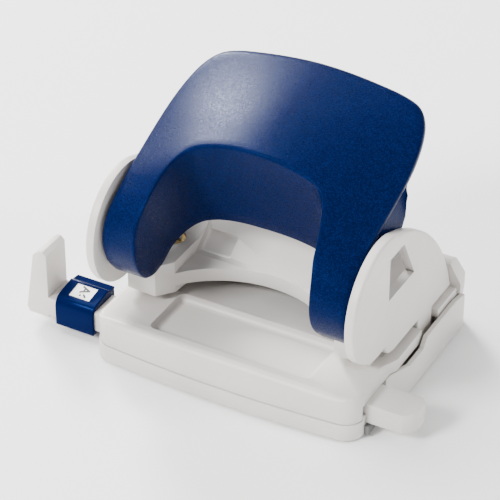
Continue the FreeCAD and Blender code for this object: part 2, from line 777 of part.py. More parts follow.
def housing_flange():
    """Ledge at the housing's foot that closes the space between the housing, the ear and the tray wall."""
    wall_x = base_rear_half_width - tray_wall - slide_gap
    low_z = tray_side_z - 0.8
    top_z = tray_side_z + 2.6
    ledge = side_prism(
        [
            (stem_rear_y + 0.4, low_z), (stem_rear_y + 0.4, top_z), (housing_rear_y - 5.0, top_z),
            (housing_rear_y - 1.5, top_z - 1.2), (housing_rear_y, low_z + 0.6), (housing_rear_y, low_z),
        ],
        plate_half_width + seat_gap, wall_x,
    )
    return ledge.common(plan_prism(base_plan(tray_wall + slide_gap, tray_wall), 0, 40))


def rear_cheek():
    """Rounded block that widens the rear housing to the base's width, behind the ear's back edge."""
    low_z = tray_side_z + slide_gap
    front_y = stem_rear_y + 15.0 + slide_gap
    outer_x = base_rear_half_width - slide_gap
    block = side_prism(
        [
            (front_y, low_z), (front_y, low_z + 3.4), (front_y - 2.4, 26.5), (front_y - 3.2, 30.0),
            (front_y - 0.6, 31.0, "arc"), (front_y + 2.0, 29.6),
            (housing_rear_y - 1.0, 20.5), (housing_rear_y, low_z + 1.2), (housing_rear_y, low_z),
        ],
        jaw_half_width - cover_wall, outer_x,
    )
    slant = front_prism([(outer_x + 1, 0), (outer_x, 0), (outer_x, low_z + 5.0), (outer_x - 3.5, 32.0),
                         (outer_x + 1, 32.0)], front_y - 10, housing_rear_y + 5)
    block = block.cut(slant)
    return block.common(plan_prism(base_plan(slide_gap, slide_gap), 0, 60))


# ---------------------------------------------------------------- format rail


def format_rail():
    """Sliding bar with the upright paper stop on its left end and detent notches along its back."""
    bar = plan_prism(
        [
            (rail_left_x, rail_front_y), (rail_right_x - 4.0, rail_front_y),
            (rail_right_x - 1.2, rail_front_y + 2.4, "arc"), (rail_right_x, rail_front_y + 5.0),
            (rail_right_x, rail_rear_y - 2.5), (rail_right_x - 2.0, rail_rear_y), (rail_left_x, rail_rear_y),
        ],
        rail_low_z, rail_high_z,
    )
    recess = box(rail_left_x + 3.0, rail_left_x + 20, rail_front_y + 3.2, rail_rear_y - 3.2, rail_high_z - 0.4, 20)
    bar = bar.cut(recess)
    for paper_half_width in rail_formats():
        notch_x = stop_x - paper_half_width
        notch = front_prism([(notch_x - 1.2, rail_low_z - 1), (notch_x + 1.2, rail_low_z - 1), (notch_x, rail_low_z + 1.0)],
                            rail_front_y + 4, rail_rear_y - 4)
        bar = bar.cut(notch)
    outer_foot = -stop_x - stop_foot_width
    outer_head = -stop_x - stop_head_width
    upright = front_prism(
        [
            (-stop_x, rail_low_z - 1.0), (-stop_x, stop_top_z - 1.5), (-stop_x - 1.5, stop_top_z),
            (outer_head + 2.0, stop_top_z), (outer_head - 0.4, stop_top_z - 2.2),
            (outer_foot, rail_low_z + 1.0), (outer_foot + 1.0, rail_low_z - 1.0),
        ],
        rail_front_y, rail_rear_y,
    )
    return bar.fuse(upright).removeSplitter()


def rail_formats():
    """Half widths of the paper sizes that the rail clicks into, from small to large."""
    return [stop_x, 105.0, 148.5]


def size_scale():
    """Printed strip in the rail's recess, read through the sleeve's window."""
    return box(rail_left_x + 3.2, rail_left_x + 19.8, rail_front_y + 3.4, rail_rear_y - 3.4,
               rail_high_z - 0.35, rail_high_z - 0.05)


def indicator_sleeve():
    """Coloured sleeve on the base's left end, round the rail, with a window in its top."""
    gap = slide_gap
    outer = box(sleeve_left_x, sleeve_right_x, rail_front_y - gap - sleeve_wall + 0.6,
                rail_rear_y + gap + sleeve_wall - 0.6, rail_low_z - gap - sleeve_wall, rail_high_z + gap + 3.4)
    outer = rounded(outer, 1.4, lambda e: e.BoundBox.XLength > 5 and e.BoundBox.ZMin > rail_high_z)
    sleeve = outer.cut(rail_tunnel(gap))
    window = sleeve_window(0.0)
    return sleeve.cut(window)


def sleeve_window(inset):
    """Opening in the sleeve's top, or the lens that sits in it."""
    middle = (sleeve_left_x + sleeve_right_x) / 2 - 0.5
    return box(middle - 3.4 + inset, middle + 3.4 - inset, rail_front_y + 2.6 + inset, rail_rear_y - 3.6 - inset,
               rail_high_z + 0.1, rail_high_z + 30)


def indicator_window():
    """Clear lens in the sleeve's window."""
    top = box(-90, 0, -40, 0, rail_high_z + slide_gap + 1.6, rail_high_z + slide_gap + 3.0)
    return sleeve_window(0.05).common(top)


def rail_guide():
    """Channel fixed under the front cover that carries the rail from below and behind."""
    low = rail_low_z - slide_gap
    outer = box(-46, 46, rail_front_y - 1.6, rail_rear_y + 1.6, low - 1.4, rail_high_z)
    guide = outer.cut(box(-cut_reach, cut_reach, rail_front_y - slide_gap, rail_rear_y + slide_gap, low, 40))
    spring_slot = box(-9, 9, rail_front_y + 4.2, rail_rear_y - 4.2, low - 2, low + 0.5)
    return guide.cut(spring_slot)


def rail_detent_spring():
    """Leaf spring in the guide's floor whose bead clicks into the rail's notches."""
    low = rail_low_z - slide_gap
    leaf = box(-8.8, 8.8, rail_front_y + 4.4, rail_rear_y - 4.4, low - 1.2, low - 0.7)
    bead = rod_y(0.8, 0, rail_front_y + 4.4, rail_rear_y - 4.4, low - 0.5)
    return leaf.fuse(bead).removeSplitter()


def rod_y(radius, x, y0, y1, z):
    """A cylinder along Y."""
    return Part.makeCylinder(radius, y1 - y0, V(x, y0, z), V(0, 1, 0))


def main():
    """Build and save every node."""
    sides = (("right", lambda shape: shape), ("left", mirrored))
    for side, place in sides:
        save(f"{side}_ear", place(right_ear()))
        save(f"pivot_pin_{side}", place(pivot_pin()))
        save(f"punch_{side}", place(punch()))
        save(f"return_spring_{side}", place(return_spring()))
        save(f"guide_bush_{side}", place(guide_bush()))
        save(f"punch_frame_{side}", place(punch_frame()))
    save("handle_shell", lever_shell())
    save("inner_lever", inner_lever())
    save("lever_rivets", lever_rivets())
    save("pin_clips", pin_clips())
    save("chip_tray", chip_tray())
    save("tray_hinge_pins", tray_hinge_pins())
    save("tray_latch", tray_latch())
    save("rubber_feet", rubber_feet())
    save("die_plate", die_plate())
    save("frame_screws", frame_screws())
    save("front_cover", front_cover())
    save("paper_stop", paper_stop())
    save("upper_cover", upper_cover())
    save("format_rail", format_rail())
    save("size_scale", size_scale())
    save("indicator_sleeve", indicator_sleeve())
    save("indicator_window", indicator_window())
    save("rail_guide", rail_guide())
    save("rail_detent_spring", rail_detent_spring())


main()
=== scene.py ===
"""Visual model of a two-hole paper punch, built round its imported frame. Metres, +Z up."""

import logging
import math
from dataclasses import dataclass, field
from enum import Enum
from typing import Callable, Iterable, Sequence

import bpy
import numpy as np
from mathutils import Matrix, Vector


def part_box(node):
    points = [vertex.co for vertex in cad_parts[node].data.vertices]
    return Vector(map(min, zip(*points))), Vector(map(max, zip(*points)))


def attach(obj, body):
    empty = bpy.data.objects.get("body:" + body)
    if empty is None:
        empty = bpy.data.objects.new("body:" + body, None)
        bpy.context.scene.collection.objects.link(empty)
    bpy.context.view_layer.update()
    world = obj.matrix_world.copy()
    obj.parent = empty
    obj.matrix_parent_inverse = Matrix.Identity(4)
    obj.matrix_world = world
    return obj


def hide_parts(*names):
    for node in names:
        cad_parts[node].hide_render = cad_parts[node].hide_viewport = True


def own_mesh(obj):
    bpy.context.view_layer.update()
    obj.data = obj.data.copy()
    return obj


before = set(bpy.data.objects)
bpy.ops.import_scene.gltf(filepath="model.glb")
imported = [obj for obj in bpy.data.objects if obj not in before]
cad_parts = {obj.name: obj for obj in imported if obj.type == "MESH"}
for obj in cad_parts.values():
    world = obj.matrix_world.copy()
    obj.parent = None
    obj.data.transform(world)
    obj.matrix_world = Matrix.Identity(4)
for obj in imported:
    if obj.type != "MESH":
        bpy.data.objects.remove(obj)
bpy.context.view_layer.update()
MM = 0.001

logging.basicConfig(level=logging.INFO, format="%(name)s: %(message)s")
log = logging.getLogger("punch")

Colour = tuple[float, float, float]
Point2 = tuple[float, float]
Point3 = tuple[float, float, float]

# Meshes: points nearer than this are merged, and edges sharper than this stay sharp
MERGE_MM = 0.002
COPY_MERGE_MM = 0.004
FLAT_DEG = 1.0
SHADE_DEG = 35.0

# Materials: noise in cells per metre, and how strongly the relief shows
CLOUD_CELLS = 30.0
LENS_CLOUD_CELLS = 60.0
CLOUD_OCTAVES = 3.0
GRAIN_OCTAVES = 2.0
BRUSH_STRETCH: Point3 = (0.04, 1.0, 1.0)
BUMP_STRENGTH = 0.6
LENS_TRANSMISSION = 0.9
LENS_IOR = 1.49
BLUE_SHEEN: Colour = (0.12, 0.3, 1.0)


# ------------------------------------------------------------------ finishes


class Surface(Enum):
    """The kinds of surface texture that a finish can have."""

    MOULDED = "moulded"
    FLAKED = "flaked"
    BRUSHED = "brushed"
    CLEAR = "clear"


@dataclass(frozen=True)
class Spread:
    """How far a surface's pattern moves its colour and its gloss.

    Attributes:
        low: Value of the pattern up to which the main colour shows alone.
        high: Value from which the second colour shows alone.
        gloss: How far the roughness strays from its middle.
    """

    low: float
    high: float
    gloss: float


SPREADS: dict[Surface, Spread] = {
    Surface.MOULDED: Spread(0.35, 0.7, 0.05),
    Surface.FLAKED: Spread(0.45, 1.0, 0.1),
    Surface.BRUSHED: Spread(0.3, 0.75, 0.08),
    Surface.CLEAR: Spread(0.3, 0.8, 0.02),
}


@dataclass(frozen=True)
class Finish:
    """One material: its colours, gloss and surface texture.

    Attributes:
        slot: The record's material slot.
        surface: The kind of surface texture.
        colour: Main colour, linear.
        second: Colour of its faint variation or of its flakes.
        roughness: Middle roughness.
        metallic: Share of metal.
        grain: Texture scale, in cells per metre.
        relief: Height of the bump, in metres.
        mirror: Specular level.
        mirror_tint: Colour of the reflections that meet the surface squarely.
    """

    slot: str
    surface: Surface
    colour: Colour
    second: Colour
    roughness: float
    metallic: float = 0.0
    grain: float = 1500.0
    relief: float = 0.00002
    mirror: float = 0.5
    mirror_tint: Colour = (1.0, 1.0, 1.0)

    def material(self) -> bpy.types.Material:
        """Make the node material.

        Returns:
            The material, built once for each slot.
        """
        found = bpy.data.materials.get("finish_" + self.slot)
        if found:
            return found
        material = bpy.data.materials.new("finish_" + self.slot)
        material.use_nodes = True
        tree = material.node_tree
        shader = tree.nodes["Principled BSDF"]
        shader.inputs["Metallic"].default_value = self.metallic
        shader.inputs["Specular IOR Level"].default_value = self.mirror
        shader.inputs["Specular Tint"].default_value = (*self.mirror_tint, 1.0)
        coords = tree.nodes.new("ShaderNodeTexCoord")
        painters: dict[Surface, Callable[..., None]] = {
            Surface.MOULDED: self._moulded,
            Surface.FLAKED: self._flaked,
            Surface.BRUSHED: self._brushed,
            Surface.CLEAR: self._clear,
        }
        painters[self.surface](tree, shader, coords)
        return material

    @staticmethod
    def _noise(
        tree: bpy.types.NodeTree,
        coords: bpy.types.Node,
        scale: float,
        detail: float = CLOUD_OCTAVES,
        stretch: Point3 = (1, 1, 1),
    ) -> bpy.types.NodeSocket:
        """Add a noise texture on Object coordinates.

        Args:
            tree: The node tree.
            coords: The Texture Coordinate node.
            scale: Cells per metre.
            detail: Octaves.
            stretch: Scale of the coordinates along each axis.

        Returns:
            The noise's value.
        """
        mapping = tree.nodes.new("ShaderNodeMapping")
        mapping.inputs["Scale"].default_value = stretch
        noise = tree.nodes.new("ShaderNodeTexNoise")
        noise.inputs["Scale"].default_value = scale
        noise.inputs["Detail"].default_value = detail
        tree.links.new(coords.outputs["Object"], mapping.inputs["Vector"])
        tree.links.new(mapping.outputs["Vector"], noise.inputs["Vector"])
        return noise.outputs["Fac"]

    def _tint(self, tree: bpy.types.NodeTree, shader: bpy.types.Node, factor: bpy.types.NodeSocket) -> None:
        """Mix the two colours by a pattern.

        Args:
            tree: The node tree.
            shader: The surface shader.
            factor: The pattern's value.
        """
        spread = SPREADS[self.surface]
        ramp = tree.nodes.new("ShaderNodeValToRGB")
        ramp.color_ramp.elements[0].position = spread.low
        ramp.color_ramp.elements[0].color = (*self.colour, 1)
        ramp.color_ramp.elements[1].position = spread.high
        ramp.color_ramp.elements[1].color = (*self.second, 1)
        tree.links.new(factor, ramp.inputs["Fac"])
        tree.links.new(ramp.outputs["Color"], shader.inputs["Base Color"])

    def _gloss(self, tree: bpy.types.NodeTree, shader: bpy.types.Node, factor: bpy.types.NodeSocket) -> None:
        """Vary the roughness about its middle by a pattern.

        Args:
            tree: The node tree.
            shader: The surface shader.
            factor: The pattern's value.
        """
        spread = SPREADS[self.surface]
        span = tree.nodes.new("ShaderNodeMapRange")
        span.inputs["To Min"].default_value = self.roughness - spread.gloss
        span.inputs["To Max"].default_value = self.roughness + spread.gloss
        tree.links.new(factor, span.inputs["Value"])
        tree.links.new(span.outputs["Result"], shader.inputs["Roughness"])

    def _bump(self, tree: bpy.types.NodeTree, shader: bpy.types.Node, height: bpy.types.NodeSocket) -> None:
        """Raise the surface by a pattern.

        Args:
            tree: The node tree.
            shader: The surface shader.
            height: The pattern's value.
        """
        bump = tree.nodes.new("ShaderNodeBump")
        bump.inputs["Strength"].default_value = BUMP_STRENGTH
        bump.inputs["Distance"].default_value = self.relief
        tree.links.new(height, bump.inputs["Height"])
        tree.links.new(bump.outputs["Normal"], shader.inputs["Normal"])

    def _moulded(self, tree: bpy.types.NodeTree, shader: bpy.types.Node, coords: bpy.types.Node) -> None:
        """Paint plastic or rubber: a faint cloud of colour and an eroded fine grain.

        Args:
            tree: The node tree.
            shader: The surface shader.
            coords: The Texture Coordinate node.
        """
        cloud = self._noise(tree, coords, CLOUD_CELLS)
        grain = self._noise(tree, coords, self.grain, GRAIN_OCTAVES)
        self._tint(tree, shader, cloud)
        self._gloss(tree, shader, cloud)
        self._bump(tree, shader, grain)

    def _flaked(self, tree: bpy.types.NodeTree, shader: bpy.types.Node, coords: bpy.types.Node) -> None:
        """Paint metallic lacquer: bright flakes in a deep colour, each tipped a little.

        Args:
            tree: The node tree.
            shader: The surface shader.
            coords: The Texture Coordinate node.
        """
        flakes = tree.nodes.new("ShaderNodeTexVoronoi")
        flakes.inputs["Scale"].default_value = self.grain
        tree.links.new(coords.outputs["Object"], flakes.inputs["Vector"])
        split = tree.nodes.new("ShaderNodeSeparateColor")
        tree.links.new(flakes.outputs["Color"], split.inputs["Color"])
        self._tint(tree, shader, split.outputs["Red"])
        self._gloss(tree, shader, split.outputs["Green"])
        self._bump(tree, shader, split.outputs["Blue"])

    def _brushed(self, tree: bpy.types.NodeTree, shader: bpy.types.Node, coords: bpy.types.Node) -> None:
        """Paint metal with fine lines along X.

        Args:
            tree: The node tree.
            shader: The surface shader.
            coords: The Texture Coordinate node.
        """
        lines = self._noise(tree, coords, self.grain, stretch=BRUSH_STRETCH)
        self._tint(tree, shader, lines)
        self._gloss(tree, shader, lines)
        self._bump(tree, shader, lines)

    def _clear(self, tree: bpy.types.NodeTree, shader: bpy.types.Node, coords: bpy.types.Node) -> None:
        """Paint clear plastic with a faint cloud.

        Args:
            tree: The node tree.
            shader: The surface shader.
            coords: The Texture Coordinate node.
        """
        shader.inputs["Transmission Weight"].default_value = LENS_TRANSMISSION
        shader.inputs["IOR"].default_value = LENS_IOR
        cloud = self._noise(tree, coords, LENS_CLOUD_CELLS)
        self._tint(tree, shader, cloud)
        self._gloss(tree, shader, cloud)


FINISHES: dict[str, Finish] = {
    finish.slot: finish
    for finish in (
        Finish(
            "lever_blue", Surface.FLAKED, (0.0001, 0.0028, 0.027), (0.0005, 0.0075, 0.06), 0.36,
            grain=3200.0, relief=0.00004, mirror=0.1, mirror_tint=BLUE_SHEEN,
        ),
        Finish("housing_white", Surface.MOULDED, (0.56, 0.53, 0.5), (0.62, 0.595, 0.565), 0.42),
        Finish("inner_white", Surface.MOULDED, (0.44, 0.42, 0.4), (0.5, 0.48, 0.46), 0.45),
        Finish("inner_grey", Surface.MOULDED, (0.3, 0.3, 0.3), (0.36, 0.36, 0.36), 0.5),
        Finish("zinc_steel", Surface.BRUSHED, (0.45, 0.46, 0.48), (0.62, 0.63, 0.64), 0.34, 1.0),
        Finish("bright_steel", Surface.BRUSHED, (0.6, 0.6, 0.62), (0.78, 0.78, 0.79), 0.22, 1.0),
        Finish("spring_steel", Surface.BRUSHED, (0.28, 0.28, 0.3), (0.45, 0.45, 0.46), 0.3, 1.0),
        Finish("bush_brass", Surface.BRUSHED, (0.6, 0.42, 0.17), (0.75, 0.58, 0.28), 0.28, 1.0),
        Finish(
            "sleeve_blue", Surface.MOULDED, (0.0001, 0.003, 0.03), (0.0002, 0.004, 0.04), 0.18,
            mirror=0.07, mirror_tint=BLUE_SHEEN,
        ),
        Finish("clear_lens", Surface.CLEAR, (0.93, 0.95, 0.96), (0.97, 0.98, 0.99), 0.06),
        Finish("label_white", Surface.MOULDED, (0.85, 0.85, 0.84), (0.88, 0.88, 0.87), 0.5),
        Finish("catch_grey", Surface.MOULDED, (0.1, 0.1, 0.1), (0.14, 0.14, 0.14), 0.5),
        Finish("foot_rubber", Surface.MOULDED, (0.012, 0.012, 0.012), (0.02, 0.02, 0.02), 0.8, grain=2500.0),
    )
}
INK = Finish("print_ink", Surface.MOULDED, (0.004, 0.004, 0.006), (0.008, 0.008, 0.01), 0.5)
FLOOR = Finish("floor", Surface.MOULDED, (0.93, 0.93, 0.93), (0.94, 0.94, 0.94), 0.8, relief=0.0)

SLOT_NODES: dict[str, tuple[str, ...]] = {
    "lever_blue": ("handle_shell",),
    "housing_white": ("left_ear", "right_ear", "front_cover", "upper_cover", "chip_tray", "format_rail"),
    "inner_white": ("rail_guide", "die_plate"),
    "inner_grey": ("paper_stop",),
    "zinc_steel": ("inner_lever", "punch_frame_left", "punch_frame_right", "lever_rivets", "frame_screws"),
    "bright_steel": ("pivot_pin_left", "pivot_pin_right", "tray_hinge_pins", "punch_left", "punch_right"),
    "spring_steel": ("pin_clips", "rail_detent_spring", "return_spring_left", "return_spring_right"),
    "bush_brass": ("guide_bush_left", "guide_bush_right"),
    "sleeve_blue": ("indicator_sleeve",),
    "clear_lens": ("indicator_window",),
    "label_white": ("size_scale",),
    "catch_grey": ("tray_latch",),
    "foot_rubber": ("rubber_feet",),
}
NODE_SLOTS: dict[str, str] = {node: slot for slot, nodes in SLOT_NODES.items() for node in nodes}


# ------------------------------------------------------------------ workshop


def deselect() -> None:
    """Leave edit mode and select nothing."""
    if bpy.context.object and bpy.context.object.mode != "OBJECT":
        bpy.ops.object.mode_set(mode="OBJECT")
    bpy.ops.object.select_all(action="DESELECT")


def take(obj: bpy.types.Object) -> None:
    """Select one object alone and make it active.

    Args:
        obj: The object.
    """
    deselect()
    obj.hide_viewport = False
    obj.select_set(True)
    bpy.context.view_layer.objects.active = obj


def edit_all(obj: bpy.types.Object) -> None:
    """Take one object into edit mode with its whole mesh selected.

    Args:
        obj: The mesh object.
    """
    take(obj)
    bpy.ops.object.mode_set(mode="EDIT")
    bpy.ops.mesh.select_all(action="SELECT")


def settle(obj: bpy.types.Object) -> None:
    """Apply the object's place, turn and scale to its mesh."""
    take(obj)
    bpy.ops.object.transform_apply(location=True, rotation=True, scale=True)


def shade(obj: bpy.types.Object, angle_deg: float = SHADE_DEG) -> None:
    """Shade one object smooth, but for its edges sharper than an angle."""
    take(obj)
    bpy.ops.object.shade_smooth_by_angle(angle=math.radians(angle_deg))


def finish_mesh(obj: bpy.types.Object, angle_deg: float = 30.0) -> None:
    """Turn every face outwards and shade the surface smooth up to an angle.

    Args:
        obj: The mesh object.
        angle_deg: Edges sharper than this stay sharp.
    """
    edit_all(obj)
    bpy.ops.mesh.remove_doubles(threshold=MERGE_MM * MM)
    bpy.ops.mesh.normals_make_consistent(inside=False)
    bpy.ops.object.mode_set(mode="OBJECT")
    shade(obj, angle_deg)


def apply_modifier(obj: bpy.types.Object, kind: str, **settings: object) -> None:
    """Add one modifier, set it and apply it.

    Args:
        obj: The mesh object.
        kind: Blender's modifier type.
        **settings: The modifier's values.
    """
    take(obj)
    modifier = obj.modifiers.new(kind.lower(), kind)
    for key, value in settings.items():
        setattr(modifier, key, value)
    bpy.ops.object.modifier_apply(modifier=modifier.name)


def bevel(obj: bpy.types.Object, width_mm: float, segments: int, angle_deg: float) -> None:
    """Round the edges of a piece that are sharper than an angle.

    Args:
        obj: The mesh object.
        width_mm: Width of the rounding.
        segments: Steps across the rounding.
        angle_deg: Edges sharper than this are rounded.
    """
    apply_modifier(
        obj, "BEVEL", width=width_mm * MM, segments=segments, limit_method="ANGLE",
        angle_limit=math.radians(angle_deg),
    )


def subtract(piece: bpy.types.Object, cutter: bpy.types.Object) -> None:
    """Cut one solid out of a piece and remove the cutter."""
    apply_modifier(piece, "BOOLEAN", operation="DIFFERENCE", object=cutter, solver="EXACT")
    bpy.data.objects.remove(cutter)


def dress(obj: bpy.types.Object, finish: Finish) -> None:
    """Give an object one finish alone."""
    obj.data.materials.clear()
    obj.data.materials.append(finish.material())


def hand_over(obj: bpy.types.Object, body: str, slot: str, nodes: Sequence[str] = ()) -> None:
    """Finish a piece: give it its slot's material, hang it on its body and hide the CAD nodes that it
    replaces.

    Args:
        obj: The piece.
        body: The CAD body that it rides on.
        slot: The record's material slot.
        nodes: The CAD nodes that it replaces.
    """
    dress(obj, FINISHES[slot])
    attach(obj, body)
    if nodes:
        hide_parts(*nodes)
    log.info("%s: %d faces", obj.name, len(obj.data.polygons))


def smooth_curve(knots: Sequence[Sequence[float]], at: np.ndarray) -> np.ndarray:
    """Points on a smooth curve through knots that stand at 0, 1, 2 and so on.

    Args:
        knots: The knots, each with the same number of values.
        at: Where the points lie.

    Returns:
        One row for each place.
    """
    rows = np.array(knots, float)
    last = len(rows) - 1
    at = np.clip(at, 0, last)
    low = np.minimum(at.astype(int), last - 1)
    f = (at - low)[:, None]
    before = np.where((low > 0)[:, None], rows[np.maximum(low - 1, 0)], 2 * rows[0] - rows[1])
    beyond = 2 * rows[last] - rows[last - 1]
    after = np.where((low + 2 <= last)[:, None], rows[np.minimum(low + 2, last)], beyond)
    first, second = rows[low], rows[low + 1]
    return 0.5 * (
        2 * first + (second - before) * f + (2 * before - 5 * first + 4 * second - after) * f**2
        + (3 * first - before - 3 * second + after) * f**3
    )


def even_places(knots: Sequence[Sequence[float]], count: int) -> np.ndarray:
    """A number of points on the smooth curve through knots, evenly spaced between its ends."""
    return smooth_curve(knots, np.linspace(0, 1, count) * (len(knots) - 1))


def bent(start: np.ndarray, corner: np.ndarray, end: np.ndarray, f: float) -> np.ndarray:
    """Points at the share f of curves that leave each start towards its corner and arrive at its end."""
    return (1 - f) ** 2 * start + 2 * f * (1 - f) * corner + f**2 * end


def softened(node: str, width_mm: float, segments: int = 2, angle_deg: float = 28.0) -> bpy.types.Object:
    """Copy a CAD node and round its edges, as a moulding's edges are.

    Args:
        node: The CAD node.
        width_mm: Width of the rounding.
        segments: Steps across the rounding.
        angle_deg: Edges sharper than this are rounded.

    Returns:
        The new piece.
    """
    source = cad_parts[node]
    piece = bpy.data.objects.new(node + "_moulded", source.data.copy())
    bpy.context.scene.collection.objects.link(piece)
    edit_all(piece)
    bpy.ops.mesh.remove_doubles(threshold=COPY_MERGE_MM * MM)
    bpy.ops.mesh.dissolve_limited(angle_limit=math.radians(FLAT_DEG))
    bpy.ops.object.mode_set(mode="OBJECT")
    bevel(piece, width_mm, segments, angle_deg)
    shade(piece)
    return piece


def prism(name: str, outline: Sequence[Point2], x0: float, x1: float) -> bpy.types.Object:
    """Extrude a side outline along X.

    Args:
        name: The piece's name.
        outline: Its (y, z) corners in millimetres.
        x0: Where it starts.
        x1: Where it ends.

    Returns:
        The closed solid.
    """
    deselect()
    bpy.ops.mesh.primitive_circle_add(vertices=len(outline), radius=1.0, fill_type="NGON")
    piece = bpy.context.object
    piece.name = name
    for vertex, (y, z) in zip(piece.data.vertices, outline):
        vertex.co = (x0 * MM, y * MM, z * MM)
    edit_all(piece)
    bpy.ops.mesh.extrude_region_move(TRANSFORM_OT_translate={"value": ((x1 - x0) * MM, 0, 0)})
    bpy.ops.object.mode_set(mode="OBJECT")
    finish_mesh(piece)
    return piece


def rounded_edges(
    piece: bpy.types.Object, width_mm: float, segments: int = 3, angle_deg: float = 25.0,
) -> None:
    """Round a piece's sharp edges and shade it smooth.

    Args:
        piece: The mesh object.
        width_mm: Width of the rounding.
        segments: Steps across the rounding.
        angle_deg: Edges sharper than this are rounded.
    """
    bevel(piece, width_mm, segments, angle_deg)
    shade(piece)


def block(centre: Point3, size: Point3) -> bpy.types.Object:
    """Add a block that serves as a cutter.

    Args:
        centre: Its middle in millimetres.
        size: Its length along each axis in millimetres.

    Returns:
        The block.
    """
    deselect()
    bpy.ops.mesh.primitive_cube_add(size=1.0)
    made = bpy.context.object
    made.location = [value * MM for value in centre]
    made.scale = [value * MM for value in size]
    settle(made)
    return made


def carve(piece: bpy.types.Object, low: Point3, high: Point3) -> None:
    """Cut a block out of a piece.

    Args:
        piece: The mesh object.
        low: The block's lowest corner in millimetres.
        high: Its highest corner.
    """
    centre = [(a + b) / 2 for a, b in zip(low, high)]
    size = [b - a for a, b in zip(low, high)]
    subtract(piece, block(centre, size))


# ------------------------------------------------------------------ format indicator


@dataclass
class FormatIndicator:
    """Blue sleeve round the rail, with a printed insert in the window of its sloping top.

    All sizes are in millimetres. The front's bend and the rear's bend are points as (distance behind
    the sleeve's front or rear face, height).
    """

    front_bend: Sequence[Point2] = ((0.0, 11.4), (0.5, 12.9), (1.5, 14.3))
    top_start: Point2 = (-27.0, 15.0)
    top_slope: float = 0.17
    top_rear_y: float = -18.9
    step_top: Point2 = (-18.2, 15.75)
    rear_bend: Sequence[Point2] = ((0.6, 15.3), (0.0, 14.6))
    edge_round: float = 0.5
    tunnel_gap: float = 0.3
    tunnel_z: Point2 = (4.9, 13.0)
    cut_reach: float = 5.0
    window_x: Point2 = (-67.0, -58.4)
    window_y: Point2 = (-26.4, -19.6)
    window_z: Point2 = (12.0, 20.0)
    insert_gap: float = 0.05
    insert_base_z: float = 13.4
    insert_drop: float = 0.45
    insert_round: float = 0.1
    insert_steps: int = 2
    text_height: float = 4.8
    text_offset: float = 0.14
    text_half_depth: float = 0.03
    text_lift: float = 0.05

    def top(self, y: float) -> float:
        """Height of the sloping top round the window."""
        return self.top_start[1] + (y - self.top_start[0]) * self.top_slope

    def build(self) -> None:
        """Make the sleeve, the insert and its mark."""
        low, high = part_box("indicator_sleeve")
        rail_low, rail_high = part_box("format_rail")
        x0, x1 = low.x / MM, high.x / MM
        front, rear, base = low.y / MM, high.y / MM, low.z / MM
        outline = [
            (front, base),
            *((front + y, z) for y, z in self.front_bend),
            self.top_start,
            (self.top_rear_y, self.top(self.top_rear_y)),
            self.step_top,
            *((rear + y, z) for y, z in self.rear_bend),
            (rear, base),
        ]
        sleeve = prism("format_sleeve", outline, x0, x1)
        rounded_edges(sleeve, self.edge_round)
        carve(
            sleeve,
            (x0 - self.cut_reach, rail_low.y / MM - self.tunnel_gap, self.tunnel_z[0]),
            (x1 + self.cut_reach, rail_high.y / MM + self.tunnel_gap, self.tunnel_z[1]),
        )
        carve(
            sleeve,
            (self.window_x[0], self.window_y[0], self.window_z[0]),
            (self.window_x[1], self.window_y[1], self.window_z[1]),
        )
        finish_mesh(sleeve, SHADE_DEG)
        hand_over(sleeve, "base", "sleeve_blue", ["indicator_sleeve"])
        self.insert()
        self.mark()

    def insert(self) -> None:
        """Fit the white insert into the window."""
        y0, y1 = self.window_y[0] + self.insert_gap, self.window_y[1] - self.insert_gap
        x0, x1 = self.window_x[0] + self.insert_gap, self.window_x[1] - self.insert_gap
        outline = [
            (y0, self.insert_base_z), (y0, self.top(y0) - self.insert_drop),
            (y1, self.top(y1) - self.insert_drop), (y1, self.insert_base_z),
        ]
        plate = prism("format_insert", outline, x0, x1)
        rounded_edges(plate, self.insert_round, self.insert_steps)
        hand_over(plate, "base", "label_white", ["indicator_window"])

    def mark(self) -> None:
        """Print the paper size on the insert, to be read from the punch's left side."""
        deselect()
        bpy.ops.object.text_add()
        text = bpy.context.object
        text.name = "format_mark"
        text.data.body = "A6"
        text.data.align_x = "CENTER"
        text.data.align_y = "CENTER"
        text.data.size = self.text_height * MM
        text.data.extrude = self.text_half_depth * MM
        text.data.offset = self.text_offset * MM
        take(text)
        bpy.ops.object.convert(target="MESH")
        mark = bpy.context.object
        middle_x, middle_y = sum(self.window_x) / 2 * MM, sum(self.window_y) / 2 * MM
        for vertex in mark.data.vertices:
            u, v, lift = vertex.co
            y = middle_y - u
            paper = (self.top(y / MM) - self.insert_drop) * MM
            vertex.co = (middle_x + v, y, paper + self.text_lift * MM + lift)
        mark.location = (0, 0, 0)
        finish_mesh(mark)
        hand_over(mark, "base", "catch_grey")
        dress(mark, INK)


# ------------------------------------------------------------------ lever


